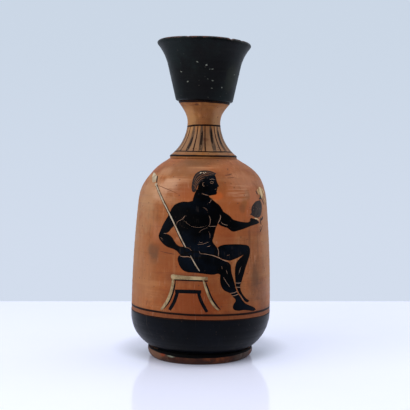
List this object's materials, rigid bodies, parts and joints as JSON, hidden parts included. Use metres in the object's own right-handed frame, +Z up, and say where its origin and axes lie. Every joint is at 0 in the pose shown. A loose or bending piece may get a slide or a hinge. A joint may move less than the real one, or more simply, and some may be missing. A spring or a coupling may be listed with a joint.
{
  "type": "oil flask",
  "caption": "Hand-thrown clay oil flask with a calyx mouth, narrow flaring neck, rounded shoulder, tall body, disc foot and a strap handle, painted in black slip on orange clay.",
  "frame": {"origin": "middle of the foot's underside, on the surface that the flask stands on", "axes": "+Z up, painted front facing -Y, handle at +Y, the body leaning slightly towards +X"},
  "size_m": [0.0739, 0.0738, 0.1672],
  "materials": {
    "orange_clay": "burnished fired clay",
    "black_slip": "satin black gloss slip",
    "joint_slip": "matte fired slip",
    "added_white": "matte cream slip"
  },
  "bodies": {
    "root": {"foot": "black_slip", "foot_lute": "joint_slip", "body": "orange_clay", "neck_lute": "joint_slip", "neck": "orange_clay", "mouth_lute": "joint_slip", "mouth": "black_slip", "handle": "black_slip", "handle_lutes": "joint_slip"}
  },
  "joints": []
}
